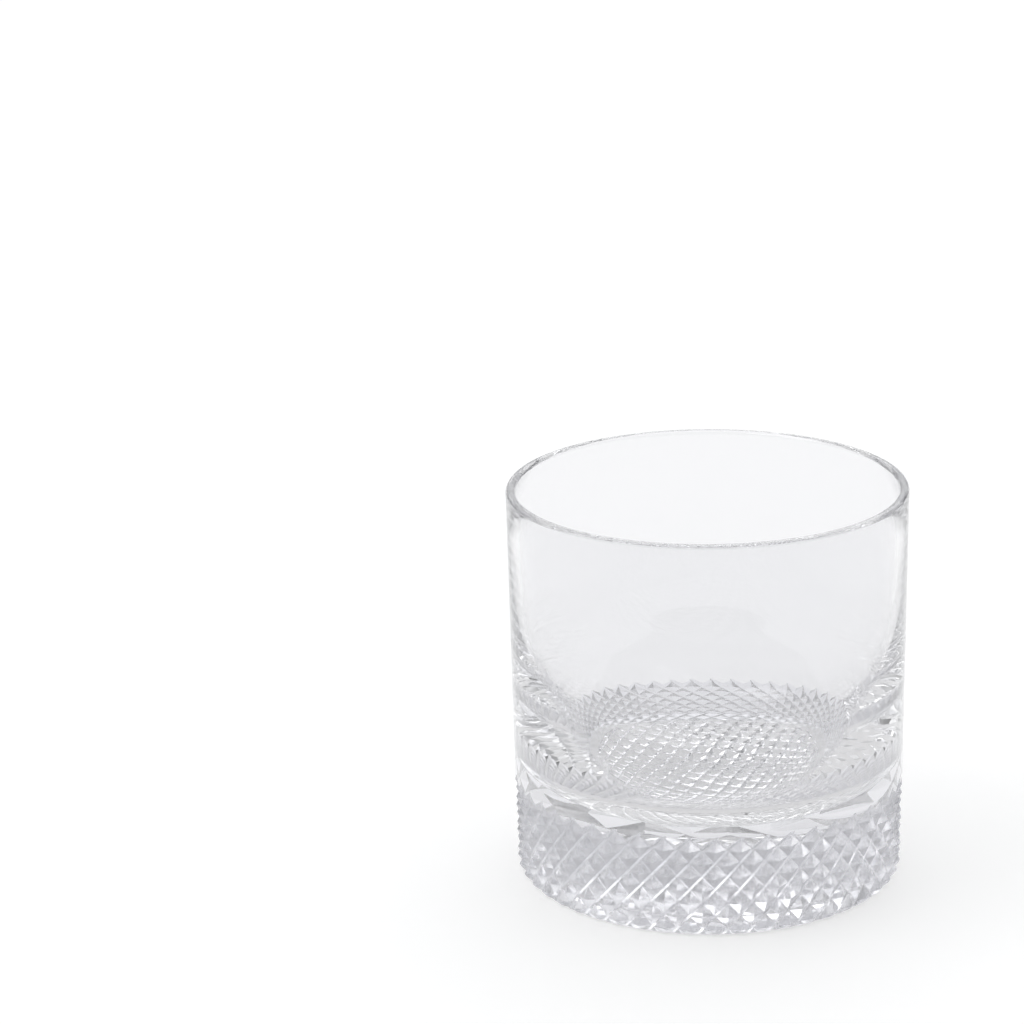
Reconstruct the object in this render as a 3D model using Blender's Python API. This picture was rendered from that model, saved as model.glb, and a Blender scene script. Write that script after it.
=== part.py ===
"""Whiskey tumbler: one piece of clear crystal.

A round, nearly straight-sided tumbler with a thin wall, a fire-polished rim and a heavy base.
The cavity ends in a round bowl.  Two families of slanted V-cuts cross around the foot and
leave a band of pointed diamonds.  A square grid of V-cuts covers the hollow of the underside.

Metres, +Z up.  The origin is the middle of the foot, on the surface the glass stands on.
"""
import math

import bmesh
import bpy
from mathutils import Vector
from mathutils.geometry import delaunay_2d_cdt

MM = 0.001

# Body
HEIGHT = 84.0 * MM
RIM_RADIUS = 42.0 * MM
BASE_RADIUS = 41.25 * MM
WALL_AT_RIM = 2.1 * MM

# Turned profile of the cavity, radius and height in millimetres: a shallow floor, a tight
# bend, then a wall that thins slowly towards the rim
CAVITY = [(0.0, 16.6), (12.0, 17.3), (24.3, 19.8), (29.9, 23.0), (32.3, 26.4), (35.0, 33.4),
          (36.6, 39.4), (37.9, 45.5), (38.7, 51.7), (39.15, 58.0), (39.6, 70.0)]

# Diamond band: every groove crossing and every diamond point lies on one of these levels
DIAMONDS_AROUND = 49
LEVEL_STEP = 2.90 * MM
FIRST_LEVEL = 1.15 * MM
LEVELS = 8
CUT_DEPTH = 1.15 * MM
FIRST_COLUMN = math.radians(-88.1)

# Foot: the outer edge is eased, the standing ring is flat
FOOT_EASE_HEIGHT = 2.0 * MM
FOOT_EASE_DEPTH = 0.9 * MM
STANDING_RING_INNER = 34.5 * MM
HOLLOW_RADIUS = 33.8 * MM
HOLLOW_DEPTH = 0.35 * MM

# Square cut grid inside the hollow
GRID_PITCH = 3.95 * MM
GRID_DEPTH = 1.1 * MM
GRID_ANGLE = math.radians(-22.3)

# Facets
RIM_STEPS = 8
CAVITY_STEPS = 3
WALL_STEPS = 4


def clear_scene():
    for item in list(bpy.data.objects):
        bpy.data.objects.remove(item, do_unlink=True)


def crystal_material():
    material = bpy.data.materials.new("clear_crystal")
    material.use_nodes = True
    shader = material.node_tree.nodes["Principled BSDF"]
    shader.inputs["Base Color"].default_value = (0.96, 0.97, 0.98, 1.0)
    shader.inputs["Roughness"].default_value = 0.02
    shader.inputs["Metallic"].default_value = 0.0
    shader.inputs["IOR"].default_value = 1.54
    shader.inputs["Transmission Weight"].default_value = 1.0
    return material


def outer_radius(z):
    """Radius of the uncut outside at height z: a slight taper with an eased foot."""
    radius = BASE_RADIUS + (RIM_RADIUS - BASE_RADIUS) * z / HEIGHT
    if z < FOOT_EASE_HEIGHT:
        t = 1.0 - z / FOOT_EASE_HEIGHT
        radius -= FOOT_EASE_DEPTH * (1.0 - math.sqrt(1.0 - t * t))
    return radius


def column_angle(j):
    """Direction of one column of diamond points or crossings."""
    return FIRST_COLUMN + math.pi * j / DIAMONDS_AROUND


def inner_profile():
    """Points (r, z) of the cavity from the rim's inner edge down to the axis.

    A smooth curve with one slope at each turned point of the profile."""
    rim_centre = HEIGHT - WALL_AT_RIM / 2
    top_radius = outer_radius(rim_centre) - WALL_AT_RIM
    knots = [(r * MM, z * MM) for r, z in CAVITY] + [(top_radius, rim_centre)]
    count = len(knots)
    slopes = [(knots[1][0], 0.0)]
    for i in range(1, count - 1):
        slopes.append(tuple((knots[i + 1][n] - knots[i - 1][n]) / 2 for n in (0, 1)))
    slopes.append(tuple(knots[-1][n] - knots[-2][n] for n in (0, 1)))
    points = []
    for i in range(count - 1):
        for k in range(CAVITY_STEPS):
            t = k / CAVITY_STEPS
            blend = (2 * t**3 - 3 * t**2 + 1, t**3 - 2 * t**2 + t,
                     3 * t**2 - 2 * t**3, t**3 - t**2)
            parts = (knots[i], slopes[i], knots[i + 1], slopes[i + 1])
            points.append(tuple(sum(w * q[n] for w, q in zip(blend, parts)) for n in (0, 1)))
    return list(reversed(points[1:]))


def groove_depth(column, level):
    """Depth of the cut on the level grid: crossings are deep, diamond points keep the skin."""
    if level >= LEVELS - 1:
        return 0.0
    return CUT_DEPTH if (column + level) % 2 == 1 else 0.0


def grid_depth(x, y):
    """Depth of the square grid of V-cuts at a point of the underside."""
    c = math.cos(GRID_ANGLE)
    s = math.sin(GRID_ANGLE)
    depth = 0.0
    for along in (x * c + y * s, y * c - x * s):
        off = abs(along / GRID_PITCH - round(along / GRID_PITCH))
        depth = max(depth, GRID_DEPTH * (1.0 - 2.0 * off))
    return depth


def underside_grid(rim_points):
    """Triangles of the cut grid inside the ring of rim_points, as 2-D points and faces."""
    points = [Vector(p) for p in rim_points]
    count = len(points)
    edges = [(i, (i + 1) % count) for i in range(count)]
    c = math.cos(GRID_ANGLE)
    s = math.sin(GRID_ANGLE)
    reach = int(HOLLOW_RADIUS / GRID_PITCH) + 1
    limit = HOLLOW_RADIUS - 0.12 * GRID_PITCH
    index = {}
    for i in range(-2 * reach, 2 * reach + 1):
        for j in range(-2 * reach, 2 * reach + 1):
            if (i + j) % 2:
                continue
            u = i * GRID_PITCH / 2
            v = j * GRID_PITCH / 2
            if math.hypot(u, v) < limit:
                index[i, j] = len(points)
                points.append(Vector((u * c - v * s, u * s + v * c)))
    for (i, j), a in index.items():
        neighbours = [(i + 1, j + 1), (i + 1, j - 1)]
        if i % 2 == 0:
            neighbours += [(i + 2, j), (i, j + 2)]
        edges += [(a, index[n]) for n in neighbours if n in index]
    verts, _, faces, _, _, _ = delaunay_2d_cdt(points, edges, [list(range(count))], 1, 1e-7)
    return verts, faces


def build_tumbler():
    mesh = bpy.data.meshes.new("tumbler")
    bm = bmesh.new()
    columns = 2 * DIAMONDS_AROUND

    def ring(radius_at, z):
        made = []
        for j in range(columns):
            a = column_angle(j)
            r = radius_at(j)
            made.append(bm.verts.new((r * math.cos(a), r * math.sin(a), z)))
        return made

    def bridge(lower, upper, diagonal_up=lambda j: True):
        """Triangles between two rings, seen from outside with the lower ring below."""
        for j in range(columns):
            k = (j + 1) % columns
            if diagonal_up(j):
                bm.faces.new((lower[j], lower[k], upper[k]))
                bm.faces.new((lower[j], upper[k], upper[j]))
            else:
                bm.faces.new((lower[j], lower[k], upper[j]))
                bm.faces.new((lower[k], upper[k], upper[j]))

    # Diamond band, from the lowest level up
    band = []
    for level in range(LEVELS):
        z = FIRST_LEVEL + level * LEVEL_STEP
        band.append(ring(lambda j: outer_radius(z) - groove_depth(j, level), z))
    for level in range(LEVELS - 1):
        bridge(band[level], band[level + 1], lambda j: (j + level) % 2 == 1)

    # Foot edge: the cut facets run on down to the standing plane
    share = FIRST_LEVEL / LEVEL_STEP
    foot = []
    for j in range(columns):
        for part in (0.0, None):
            crossing_side = (j % 2 == 1)
            if part is None:
                offset = share if crossing_side else 1.0 - share
                depth = CUT_DEPTH
            else:
                offset = 0.0
                depth = CUT_DEPTH * ((1.0 - share) if crossing_side else share)
            a = column_angle(j + offset)
            r = outer_radius(0.0) - depth
            foot.append(bm.verts.new((r * math.cos(a), r * math.sin(a), 0.0)))
    low = band[0]
    count = len(foot)
    for j in range(columns):
        k = (j + 1) % columns
        left = foot[2 * j]
        cut = foot[2 * j + 1]
        right = foot[(2 * j + 2) % count]
        bm.faces.new((left, cut, low[j]))
        bm.faces.new((cut, right, low[k]))
        bm.faces.new((cut, low[k], low[j]))

    # Smooth wall and rounded rim
    rim_centre = HEIGHT - WALL_AT_RIM / 2
    wall_start = FIRST_LEVEL + (LEVELS - 1) * LEVEL_STEP
    previous = band[-1]
    for i in range(1, WALL_STEPS + 1):
        z = wall_start + (rim_centre - wall_start) * i / WALL_STEPS
        current = ring(lambda j: outer_radius(z), z)
        bridge(previous, current)
        previous = current
    tube = WALL_AT_RIM / 2
    tube_radius = outer_radius(rim_centre) - tube
    for i in range(1, RIM_STEPS + 1):
        a = math.pi * i / RIM_STEPS
        current = ring(lambda j: tube_radius + tube * math.cos(a), rim_centre + tube * math.sin(a))
        bridge(previous, current)
        previous = current

    # Cavity
    for r, z in inner_profile():
        current = ring(lambda j: r, z)
        bridge(previous, current)
        previous = current
    middle = bm.verts.new((0.0, 0.0, CAVITY[0][1] * MM))
    for j in range(columns):
        bm.faces.new((previous[j], previous[(j + 1) % columns], middle))

    # Standing ring: flat, from the cut outer edge to the hollow
    inner = ring(lambda j: STANDING_RING_INNER, 0.0)
    for j in range(columns):
        k = (j + 1) % columns
        bm.faces.new((foot[2 * j + 1], foot[2 * j], inner[j]))
        bm.faces.new((foot[2 * j + 1], inner[j], inner[k]))
        bm.faces.new((foot[(2 * j + 2) % count], foot[2 * j + 1], inner[k]))

    # Hollow of the underside with its cut grid
    edge = []
    for j in range(columns):
        a = column_angle(j)
        edge.append((HOLLOW_RADIUS * math.cos(a), HOLLOW_RADIUS * math.sin(a)))
    points, faces = underside_grid(edge)
    verts = []
    for i, p in enumerate(points):
        z = HOLLOW_DEPTH + grid_depth(p.x, p.y)
        verts.append(bm.verts.new((p.x, p.y, z)))
    for face in faces:
        bm.faces.new([verts[i] for i in reversed(face)])
    for j in range(columns):
        k = (j + 1) % columns
        bm.faces.new((inner[k], inner[j], verts[j]))
        bm.faces.new((inner[k], verts[j], verts[k]))

    bmesh.ops.recalc_face_normals(bm, faces=bm.faces)
    bm.to_mesh(mesh)
    bm.free()
    mesh.materials.append(crystal_material())
    tumbler = bpy.data.objects.new("tumbler", mesh)
    bpy.context.scene.collection.objects.link(tumbler)
    mesh.shade_smooth()
    mesh.set_sharp_from_angle(angle=math.radians(14.0))
    return tumbler


clear_scene()
build_tumbler()
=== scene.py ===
import math

import bmesh
import bpy
import numpy as np
from mathutils import Matrix, Vector
from mathutils.geometry import delaunay_2d_cdt


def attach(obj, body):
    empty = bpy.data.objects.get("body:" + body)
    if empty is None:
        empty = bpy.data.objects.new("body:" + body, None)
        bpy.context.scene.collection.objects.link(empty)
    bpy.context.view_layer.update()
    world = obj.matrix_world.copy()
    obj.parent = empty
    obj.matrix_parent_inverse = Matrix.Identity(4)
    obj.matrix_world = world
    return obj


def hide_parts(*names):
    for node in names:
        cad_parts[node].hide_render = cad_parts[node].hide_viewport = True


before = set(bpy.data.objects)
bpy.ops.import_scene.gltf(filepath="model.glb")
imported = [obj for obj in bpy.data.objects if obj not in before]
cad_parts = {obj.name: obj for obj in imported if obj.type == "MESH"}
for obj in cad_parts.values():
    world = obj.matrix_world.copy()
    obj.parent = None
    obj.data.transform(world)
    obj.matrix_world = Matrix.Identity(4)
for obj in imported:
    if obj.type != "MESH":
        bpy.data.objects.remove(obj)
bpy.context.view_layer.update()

MM = 0.001

# Shape of the glass, in millimetres
HEIGHT = 84.0
RIM_RADIUS = 42.0
BASE_RADIUS = 41.25
WALL_AT_RIM = 2.1

# Diamond band: tips and crossings lie on levels LEVEL_STEP apart
DIAMONDS = 49
LEVEL_STEP = 2.90
FIRST_LEVEL = 1.15                        # height of level 0
LOWEST_CELL = -2                          # the cells below the table are cut off
HIGHEST_CELL = 8
FADE_LEVEL = 6.0                          # from here the cuts run out
TOP_LEVEL = 7.15                          # and here the last one has left the surface
DEPTH_RIGHT = 1.25                        # cuts that rise to the right
DEPTH_LEFT = 1.12                         # cuts that rise to the left
FLAT_RIGHT = 0.06                         # half widths of the flat bottoms, in cells
FLAT_LEFT = 0.02
TIP_TURN = math.radians(-90.0 + 1.9)      # direction of one column of diamond tips
CUTS_TOP = FIRST_LEVEL + TOP_LEVEL * LEVEL_STEP

# Foot and underside
FOOT_ROUND = 1.5
FOOT_ROWS = [0.12, 0.3, 0.55, 0.85, 1.2, 1.5]
RING_INNER = 34.5
HOLLOW_RADIUS = 33.8
HOLLOW_DEPTH = 0.35
GRID_PITCH = 3.95
GRID_DEPTH = 1.1
GRID_CUT = 0.3                            # half width of a cut, in pitches
GRID_EDGE = 0.3                           # plain margin inside the hollow
GRID_TURN = math.radians(-22.3)
GRID_ORIGIN = (-4.1, 10.5)

# Cavity: control points (r, z), from the middle of the floor out and up to the rim
CAVITY = [(0.0, 16.6), (12.0, 17.3), (24.3, 19.8), (29.9, 23.0), (32.3, 26.4), (35.0, 33.4),
          (36.6, 39.4), (37.9, 45.5), (38.7, 51.7), (39.15, 58.0), (39.6, 70.0)]

# Steps of the mesh
COLUMNS = 2 * DIAMONDS
FINE = 2 * COLUMNS
WALL_ROWS = 8
RIM_ROWS = 16
CAVITY_STEPS = 6
WALL_START = CUTS_TOP + 1.0               # the evenly stepped wall starts above the cuts
MERGE = 0.002                             # millimetres
SHARP = 11.0                              # edges that turn by more degrees than this are sharp
ON_WALL = 0.003                           # how near the turned side counts as uncut
WALL_CHECK_LOW = 15.0
CUT_FACE_INNER = RING_INNER + 1.0

# Glass
IOR = 1.54
POLISHED = 0.0
CUT_ROUGHNESS = 0.2
TINT = (0.90, 0.90, 0.91, 1.0)
# the darker, bluer tint of the cut faces is painted shade of the diamond band; the glass is the
# same as above
CUT_PAINTED_SHADE = (0.70, 0.70, 0.74, 1.0)
NOISE_SCALE = 90.0
WAVE_STRENGTH = 0.05
WAVE_HEIGHT = 0.0002

# Studio
FLOOR_SIZE = 12.0
FLOOR_DROP = 0.0003                       # keeps the floor clear of the standing ring
FLOOR_COLOUR = (0.5, 0.5, 0.5, 1.0)
FLOOR_GLOW = 0.55
SKY_COLOUR = (0.98, 0.99, 1.0, 1.0)
SKY_LOW, SKY_HIGH = 0.35, 1.35
FRONT_DARK = 0.15
BOUNCES = 36

# Camera
LENS = 105.47
SENSOR = 36.0
CAM_DISTANCE = 0.59929
CAM_HEIGHT = 0.26698
CAM_PITCH = 0.3049
CAM_ROLL = -0.0254
CAM_TURN = math.radians(3.893)


def taper(z):
    """Radius of the straight, slightly tapered side at height z."""
    return BASE_RADIUS + (RIM_RADIUS - BASE_RADIUS) * z / HEIGHT


def ease(z):
    """How far the rounded foot edge lies inside the straight side."""
    if z >= FOOT_ROUND:
        return 0.0
    return FOOT_ROUND - math.sqrt(max(0.0, FOOT_ROUND**2 - (FOOT_ROUND - z)**2))


def curve_through(points, steps):
    """Points along a centripetal Catmull-Rom curve; the first point is on the axis."""
    pts = [np.array(p, float) for p in points]
    out = []
    for i in range(len(pts) - 1):
        p0 = pts[i - 1] if i else np.array([-pts[1][0], pts[1][1]])
        p1 = pts[i]
        p2 = pts[i + 1]
        p3 = pts[i + 2] if i + 2 < len(pts) else 2 * p2 - p1
        d1, d2, d3 = (max(np.linalg.norm(b - a), 1e-6) ** 0.5
                      for a, b in ((p0, p1), (p1, p2), (p2, p3)))
        m1 = ((p1 - p0) / d1 - (p2 - p0) / (d1 + d2) + (p2 - p1) / d2) * d2
        m2 = ((p2 - p1) / d2 - (p3 - p1) / (d2 + d3) + (p3 - p2) / d3) * d2
        for k in range(steps):
            t = k / steps
            out.append((2 * t**3 - 3 * t**2 + 1) * p1 + (t**3 - 2 * t**2 + t) * m1
                       + (3 * t**2 - 2 * t**3) * p2 + (t**3 - t**2) * m2)
    out.append(pts[-1])
    return out


class Shell:
    """Collects the vertices and faces of the glass."""

    def __init__(self):
        self.verts = []
        self.faces = []
        self.index = {}

    def add(self, x, y, z):
        key = (round(x, 4), round(y, 4), round(z, 4))
        if key not in self.index:
            self.index[key] = len(self.verts)
            self.verts.append((x * MM, y * MM, z * MM))
        return self.index[key]

    def face(self, *corners):
        clean = [c for i, c in enumerate(corners) if c != corners[i - 1]]
        if len(set(clean)) > 2:
            self.faces.append(tuple(clean))

    def polar(self, r, a, z):
        return self.add(r * math.cos(a), r * math.sin(a), z)

    def ring(self, r, z, count):
        return [self.polar(r, TIP_TURN + 2 * math.pi * j / count, z) for j in range(count)]

    def bridge(self, low, high):
        count = len(low)
        for j in range(count):
            k = (j + 1) % count
            self.face(low[j], low[k], high[k], high[j])

    def turn(self, i):
        x, y, _ = self.verts[i]
        return (math.atan2(y, x) - TIP_TURN) % (2 * math.pi)

    def zip_rings(self, low, high):
        """Triangles between two rings of points at any spacing; low is the lower or outer one."""
        low = sorted(set(low), key=self.turn)
        high = sorted(set(high), key=self.turn)
        i = j = 0
        while i < len(low) or j < len(high):
            a = low[i % len(low)]
            b = high[j % len(high)]
            next_a = self.turn(low[i + 1]) if i + 1 < len(low) else 2 * math.pi
            next_b = self.turn(high[j + 1]) if j + 1 < len(high) else 2 * math.pi
            if j >= len(high) or (i < len(low) and next_a <= next_b):
                self.face(a, low[(i + 1) % len(low)], b)
                i += 1
            else:
                self.face(a, high[(j + 1) % len(high)], b)
                j += 1


def column_angle(c):
    """Direction of a column of tips and crossings; c need not be whole."""
    return TIP_TURN + 2 * math.pi * c / COLUMNS


def diamond_cell(column, level):
    """Triangles of one diamond and of the cut bottoms round it, as (column, level, depth) points.

    The cuts that rise to the right are the deeper ones and run straight through; the cuts that
    rise to the left stop at them."""
    w1, w2 = FLAT_RIGHT, FLAT_LEFT
    step = w1 + (0.5 - w1) * (1.0 - DEPTH_LEFT / DEPTH_RIGHT)

    def at(a, b, depth):
        return (column + a + b - 1.0, level + a - b, depth)
    tip = at(0.5, 0.5, 0.0)
    out = []
    for m in (0, 1):
        def half(a, b, depth):
            return at(a, b, depth) if m == 0 else at(1 - a, 1 - b, depth)
        p00, p10 = half(0, 0, DEPTH_RIGHT), half(1, 0, DEPTH_RIGHT)
        p0, p1 = half(0, w1, DEPTH_RIGHT), half(1, w1, DEPTH_RIGHT)
        p2, p3 = half(1, step, DEPTH_LEFT), half(1 - w2, step, DEPTH_LEFT)
        p4, p5 = half(w2, step, DEPTH_LEFT), half(0, step, DEPTH_LEFT)
        out += [(p00, p10, p1), (p00, p1, p0), (p0, p4, p5), (p0, tip, p4), (p0, p1, tip),
                (p1, p3, tip), (p1, p2, p3)]
    for m in (0, 1):
        def side(a, b, depth):
            return at(a, b, depth) if m == 0 else at(1 - a, 1 - b, depth)
        q0, q1 = side(0, step, DEPTH_LEFT), side(0, 1 - step, DEPTH_LEFT)
        q2, q3 = side(w2, step, DEPTH_LEFT), side(w2, 1 - step, DEPTH_LEFT)
        out += [(q0, q2, q3), (q0, q3, q1), (q2, tip, q3)]
    return out


def slice_triangles(triangles, value):
    """Cuts triangles along value(point) = 0."""
    out = []
    for tri in triangles:
        v = [value(p) for p in tri]
        v = [0.0 if abs(x) < 1e-7 else x for x in v]
        if min(v) >= 0.0 or max(v) <= 0.0:
            out.append(tri)
            continue
        low, high = [], []
        for i in range(3):
            p, q, a, b = tri[i], tri[(i + 1) % 3], v[i], v[(i + 1) % 3]
            if a <= 0.0:
                low.append(p)
            if a >= 0.0:
                high.append(p)
            if a * b < 0.0:
                if a < b:
                    t = a / (a - b)
                    cut = tuple(x + (y - x) * t for x, y in zip(p, q))
                else:
                    t = b / (b - a)
                    cut = tuple(y + (x - y) * t for x, y in zip(p, q))
                low.append(cut)
                high.append(cut)
        for part in (low, high):
            for i in range(1, len(part) - 1):
                out.append((part[0], part[i], part[i + 1]))
    return out


def level_z(level):
    """Height of a level; it need not be whole."""
    return FIRST_LEVEL + level * LEVEL_STEP


def lift(level):
    """The cuts run out upwards: from FADE_LEVEL they rise until they leave the surface."""
    return max(0.0, (level - FADE_LEVEL) / (TOP_LEVEL - FADE_LEVEL)) * DEPTH_RIGHT


def above_cut(p):
    """Above 0 where the smooth side or the rounded foot lies deeper than the cut."""
    return ease(level_z(p[1])) + lift(p[1]) - p[2]


def add_band(shell):
    """The diamond band. Returns its lowest and highest rings of points."""
    triangles = []
    for level in range(LOWEST_CELL, HIGHEST_CELL + 1):
        for column in range(COLUMNS):
            if (column + level) % 2 == 0:      # a tip, not a crossing
                triangles += diamond_cell(column, level)
    bottom = -FIRST_LEVEL / LEVEL_STEP
    lines = [bottom, FADE_LEVEL, TOP_LEVEL]
    lines += [(z - FIRST_LEVEL) / LEVEL_STEP for z in FOOT_ROWS]
    for line in lines:
        triangles = slice_triangles(triangles, lambda p: p[1] - line)
    triangles = [t for t in triangles if bottom < sum(p[1] for p in t) / 3 < TOP_LEVEL]
    triangles = slice_triangles(triangles, above_cut)
    low, high = [], []
    for tri in triangles:
        corners = []
        for c, level, depth in tri:
            z = max(0.0, level_z(level))
            inset = max(ease(z), depth - lift(level))
            i = shell.polar(taper(z) - inset, column_angle(c), z)
            corners.append(i)
            if abs(level - bottom) < 1e-6:
                low.append(i)
            if abs(level - TOP_LEVEL) < 1e-6:
                high.append(i)
        shell.face(*corners)
    return low, high


def grid_depth(u, v):
    """Depth of the square grid of V-cuts, in the grid's own coordinates."""
    off = min(abs(w / GRID_PITCH - round(w / GRID_PITCH)) for w in (u, v))
    return GRID_DEPTH * max(0.0, 1.0 - off / GRID_CUT)


def add_underside(shell, foot):
    """Flat standing ring, the step up into the hollow, and the square grid cut in it."""
    inner = shell.ring(RING_INNER, 0.0, COLUMNS)
    shell.zip_rings(inner, foot)
    c, s = math.cos(GRID_TURN), math.sin(GRID_TURN)

    def to_grid(x, y):
        dx, dy = x - GRID_ORIGIN[0], y - GRID_ORIGIN[1]
        return dx * c + dy * s, dy * c - dx * s

    points = [Vector((HOLLOW_RADIUS * math.cos(column_angle(j)),
                      HOLLOW_RADIUS * math.sin(column_angle(j)))) for j in range(COLUMNS)]
    edges = [(i, (i + 1) % COLUMNS) for i in range(COLUMNS)]
    reach = int(2 * (HOLLOW_RADIUS + 15) / GRID_PITCH)
    index = {}
    for i in range(-reach, reach + 1):
        for j in range(-reach, reach + 1):
            nodes = [(0, 0, 0.0, 0.0)]
            nodes += [(p, q, p * GRID_CUT, q * GRID_CUT) for p in (-1, 1) for q in (-1, 1)]
            for p, q, du, dv in nodes:
                u, v = (i + du) * GRID_PITCH, (j + dv) * GRID_PITCH
                x = GRID_ORIGIN[0] + u * c - v * s
                y = GRID_ORIGIN[1] + u * s + v * c
                if math.hypot(x, y) < HOLLOW_RADIUS - GRID_EDGE:
                    index[i, j, p, q] = len(points)
                    points.append(Vector((x, y)))
    for (i, j, p, q), a in index.items():
        if p == 0:
            around = [(i + 1, j, 0, 0), (i, j + 1, 0, 0)]
            around += [(i, j, m, n) for m in (-1, 1) for n in (-1, 1)]
        else:
            around = [(i + 1, j, -1, q)] if p == 1 else []
            around += [(i, j + 1, p, -1)] if q == 1 else []
        edges += [(a, index[n]) for n in around if n in index]
    flat, _, tris, _, _, _ = delaunay_2d_cdt(points, edges, [list(range(COLUMNS))], 1, 1e-6)
    lifted = [shell.add(p.x, p.y, HOLLOW_DEPTH + grid_depth(*to_grid(p.x, p.y))) for p in flat]
    for t in tris:
        shell.face(*[lifted[i] for i in reversed(t)])
    for j in range(COLUMNS):
        k = (j + 1) % COLUMNS
        shell.face(inner[k], inner[j], lifted[j])
        shell.face(inner[k], lifted[j], lifted[k])


def build_glass():
    """The whole glass: band, wall, rim, cavity and underside in one closed mesh."""
    shell = Shell()
    foot, top_row = add_band(shell)
    rim_z = HEIGHT - WALL_AT_RIM / 2
    previous = shell.ring(taper(WALL_START), WALL_START, FINE)
    shell.zip_rings(top_row, previous)

    def next_ring(r, z):
        nonlocal previous
        current = shell.ring(r, z, FINE)
        shell.bridge(previous, current)
        previous = current

    for i in range(1, WALL_ROWS + 1):
        z = WALL_START + (rim_z - WALL_START) * i / WALL_ROWS
        next_ring(taper(z), z)
    tube = WALL_AT_RIM / 2
    for i in range(1, RIM_ROWS + 1):
        a = math.pi * i / RIM_ROWS
        next_ring(taper(rim_z) - tube + tube * math.cos(a), rim_z + tube * math.sin(a))
    top = taper(rim_z) - WALL_AT_RIM
    profile = curve_through(CAVITY + [(top, rim_z)], CAVITY_STEPS)
    for r, z in reversed(profile[1:-1]):
        next_ring(r, z)
    middle = shell.add(0.0, 0.0, profile[0][1])
    for j in range(FINE):
        shell.face(previous[j], previous[(j + 1) % FINE], middle)
    add_underside(shell, foot)

    mesh = bpy.data.meshes.new("tumbler_crystal")
    mesh.from_pydata(shell.verts, [], shell.faces)
    mesh.validate()
    bm = bmesh.new()
    bm.from_mesh(mesh)
    bmesh.ops.remove_doubles(bm, verts=bm.verts, dist=MERGE * MM)
    bmesh.ops.dissolve_degenerate(bm, dist=MERGE * MM, edges=bm.edges)
    bmesh.ops.recalc_face_normals(bm, faces=bm.faces)
    bm.to_mesh(mesh)
    bm.free()
    obj = bpy.data.objects.new("tumbler_crystal", mesh)
    bpy.context.scene.collection.objects.link(obj)
    mesh.shade_smooth()
    mesh.set_sharp_from_angle(angle=math.radians(SHARP))
    smooth_wall_normals(mesh)
    return obj


def smooth_wall_normals(mesh):
    """Corners on the plain outer wall get the exact normal of the turned surface.

    Faces of the band that are cut get the second material: rougher, and darker by a tint that is
    painted shade."""
    count = len(mesh.loops)
    normals = np.empty(count * 3)
    mesh.corner_normals.foreach_get("vector", normals)
    normals = normals.reshape(count, 3)
    where = np.empty(count, int)
    mesh.loops.foreach_get("vertex_index", where)
    co = np.empty(len(mesh.vertices) * 3)
    mesh.vertices.foreach_get("co", co)
    co = co.reshape(-1, 3) / MM
    r = np.hypot(co[:, 0], co[:, 1])
    on_wall = np.abs(r - taper(co[:, 2])) < ON_WALL
    on_wall &= (co[:, 2] > WALL_CHECK_LOW) & (co[:, 2] < HEIGHT - WALL_AT_RIM)
    slope = (RIM_RADIUS - BASE_RADIUS) / HEIGHT
    for poly in mesh.polygons:
        corners = list(poly.vertices)
        plain = all(on_wall[v] for v in corners)
        low = co[corners].mean(axis=0)[2] < CUTS_TOP
        # faces of the cut band get the second material, whose darker tint is painted shade
        if low and r[corners].min() > CUT_FACE_INNER and not plain:
            poly.material_index = 1
        if not plain:
            continue
        for i in poly.loop_indices:
            v = where[i]
            n = np.array([co[v, 0] / r[v], co[v, 1] / r[v], -slope])
            normals[i] = n / np.linalg.norm(n)
    mesh.normals_split_custom_set([tuple(n) for n in normals])


def crystal(name, roughness, tint_and_painted_shade):
    """Clear lead crystal: a trace of grey, and a very slight unevenness left by polishing. For
    the cut faces the darker tint is painted shade.
    """
    mat = bpy.data.materials.new(name)
    mat.use_nodes = True
    nt = mat.node_tree
    shader = nt.nodes["Principled BSDF"]
    shader.inputs["Base Color"].default_value = tint_and_painted_shade
    shader.inputs["Metallic"].default_value = 0.0
    shader.inputs["IOR"].default_value = IOR
    shader.inputs["Transmission Weight"].default_value = 1.0
    shader.inputs["Roughness"].default_value = roughness
    where = nt.nodes.new("ShaderNodeTexCoord")
    noise = nt.nodes.new("ShaderNodeTexNoise")
    noise.inputs["Scale"].default_value = NOISE_SCALE
    noise.inputs["Detail"].default_value = 2.0
    nt.links.new(where.outputs["Object"], noise.inputs["Vector"])
    bump = nt.nodes.new("ShaderNodeBump")
    bump.inputs["Strength"].default_value = WAVE_STRENGTH
    bump.inputs["Distance"].default_value = WAVE_HEIGHT
    nt.links.new(noise.outputs["Fac"], bump.inputs["Height"])
    nt.links.new(bump.outputs["Normal"], shader.inputs["Normal"])
    return mat


glass = build_glass()
glass.data.materials.append(crystal("clear_crystal", POLISHED, TINT))
# second material: rough cut faces, darker by a tint that is painted shade
glass.data.materials.append(crystal("cut_crystal_painted_shade", CUT_ROUGHNESS, CUT_PAINTED_SHADE))
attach(glass, "root")
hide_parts("tumbler")

# ---------------------------------------------------------------- floor, light, camera
bpy.ops.mesh.primitive_plane_add(size=FLOOR_SIZE, location=(0, 0, -FLOOR_DROP))
floor = bpy.context.active_object
floor.name = "floor"
floor_mat = bpy.data.materials.new("pale_floor")
floor_mat.use_nodes = True
fs = floor_mat.node_tree.nodes["Principled BSDF"]
fs.inputs["Base Color"].default_value = FLOOR_COLOUR
fs.inputs["Emission Color"].default_value = (1.0, 1.0, 1.0, 1.0)
fs.inputs["Emission Strength"].default_value = FLOOR_GLOW
fs.inputs["Roughness"].default_value = 0.9
fs.inputs["Specular IOR Level"].default_value = 0.1
floor.data.materials.append(floor_mat)

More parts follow.
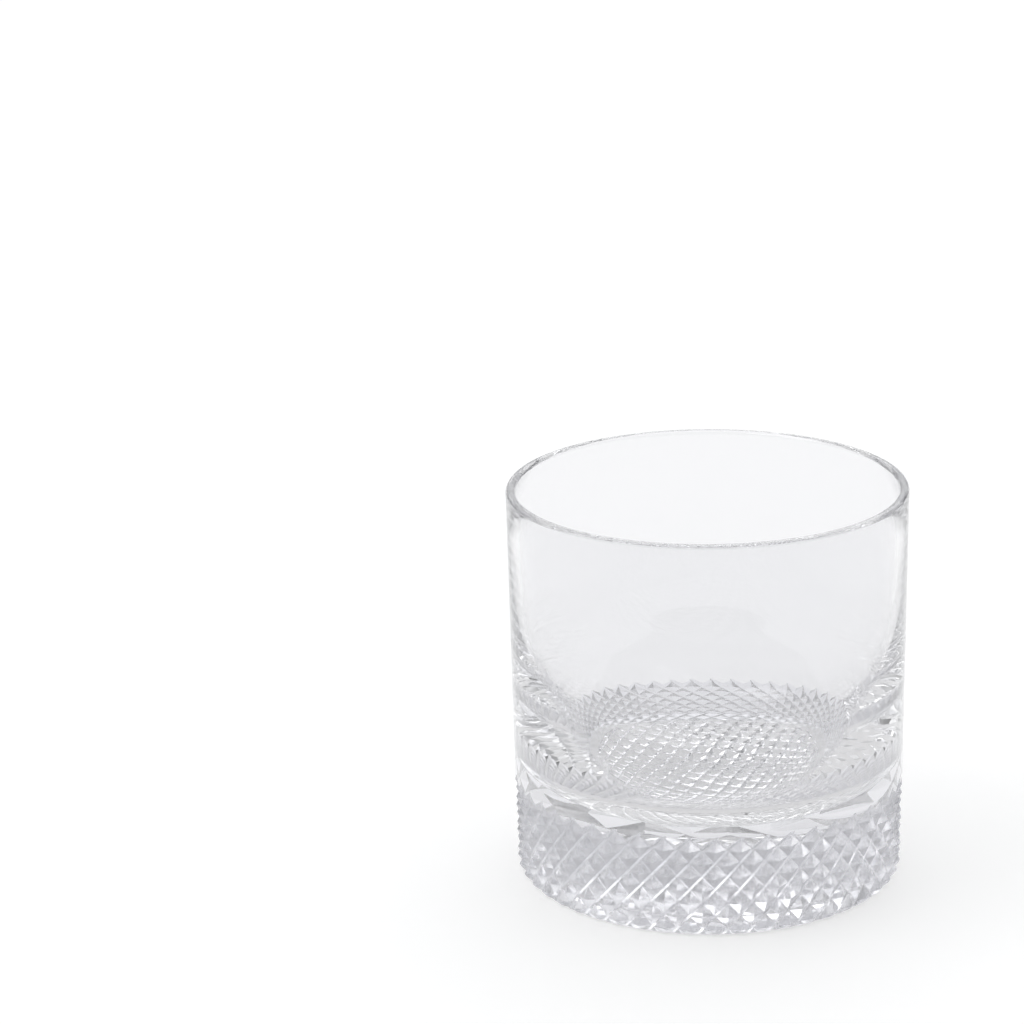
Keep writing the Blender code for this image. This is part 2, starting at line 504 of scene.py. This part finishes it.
world = bpy.data.worlds.new("studio")
bpy.context.scene.world = world
world.use_nodes = True
bg = world.node_tree.nodes["Background"]
sky = world.node_tree.nodes.new("ShaderNodeTexCoord")
split = world.node_tree.nodes.new("ShaderNodeSeparateXYZ")
ramp = world.node_tree.nodes.new("ShaderNodeMapRange")
ramp.inputs["To Min"].default_value = SKY_LOW
ramp.inputs["To Max"].default_value = SKY_HIGH
world.node_tree.links.new(sky.outputs["Generated"], split.inputs["Vector"])
world.node_tree.links.new(split.outputs["Z"], ramp.inputs["Value"])
front = world.node_tree.nodes.new("ShaderNodeMapRange")
front.inputs["From Min"].default_value = -0.9
front.inputs["From Max"].default_value = 0.1
front.inputs["To Min"].default_value = FRONT_DARK
both = world.node_tree.nodes.new("ShaderNodeMath")
both.operation = "MULTIPLY"
world.node_tree.links.new(split.outputs["Y"], front.inputs["Value"])
world.node_tree.links.new(ramp.outputs["Result"], both.inputs[0])
world.node_tree.links.new(front.outputs["Result"], both.inputs[1])
world.node_tree.links.new(both.outputs["Value"], bg.inputs["Strength"])
bg.inputs["Color"].default_value = SKY_COLOUR


def soft_light(name, location, target, size, watts, colour=(1, 1, 1)):
    data = bpy.data.lights.new(name, "AREA")
    data.shape = "RECTANGLE"
    data.size, data.size_y = size
    data.energy = watts
    data.color = colour
    obj = bpy.data.objects.new(name, data)
    bpy.context.scene.collection.objects.link(obj)
    obj.location = location
    aim = Vector(target) - Vector(location)
    obj.rotation_euler = aim.to_track_quat("-Z", "Y").to_euler()
    return obj


soft_light("key", (-0.9, -0.3, 1.3), (0, 0, 0.04), (0.9, 1.1), 4.7)
soft_light("back", (0.3, 1.4, 1.2), (0, 0, 0.04), (1.4, 1.0), 3.9)

cam_data = bpy.data.cameras.new("camera")
cam_data.lens = LENS
cam_data.sensor_width = SENSOR
cam_data.clip_start = 0.01
cam_data.clip_end = 50.0
cam = bpy.data.objects.new("camera", cam_data)
bpy.context.scene.collection.objects.link(cam)
fwd = Vector((0, math.cos(CAM_PITCH), -math.sin(CAM_PITCH)))
up = Vector((0, math.sin(CAM_PITCH), math.cos(CAM_PITCH)))
right = Vector((1, 0, 0))
r2 = right * math.cos(CAM_ROLL) + up * math.sin(CAM_ROLL)
u2 = -right * math.sin(CAM_ROLL) + up * math.cos(CAM_ROLL)
rot = Matrix((r2, u2, -fwd)).transposed()
cam.matrix_world = (Matrix.Translation((0, -CAM_DISTANCE, CAM_HEIGHT))
                    @ (Matrix.Rotation(CAM_TURN, 3, "Z") @ rot).to_4x4())
bpy.context.scene.camera = cam
bpy.context.scene.view_settings.view_transform = "Standard"
bpy.context.scene.cycles.max_bounces = BOUNCES
bpy.context.scene.cycles.transmission_bounces = BOUNCES
bpy.context.scene.cycles.glossy_bounces = BOUNCES
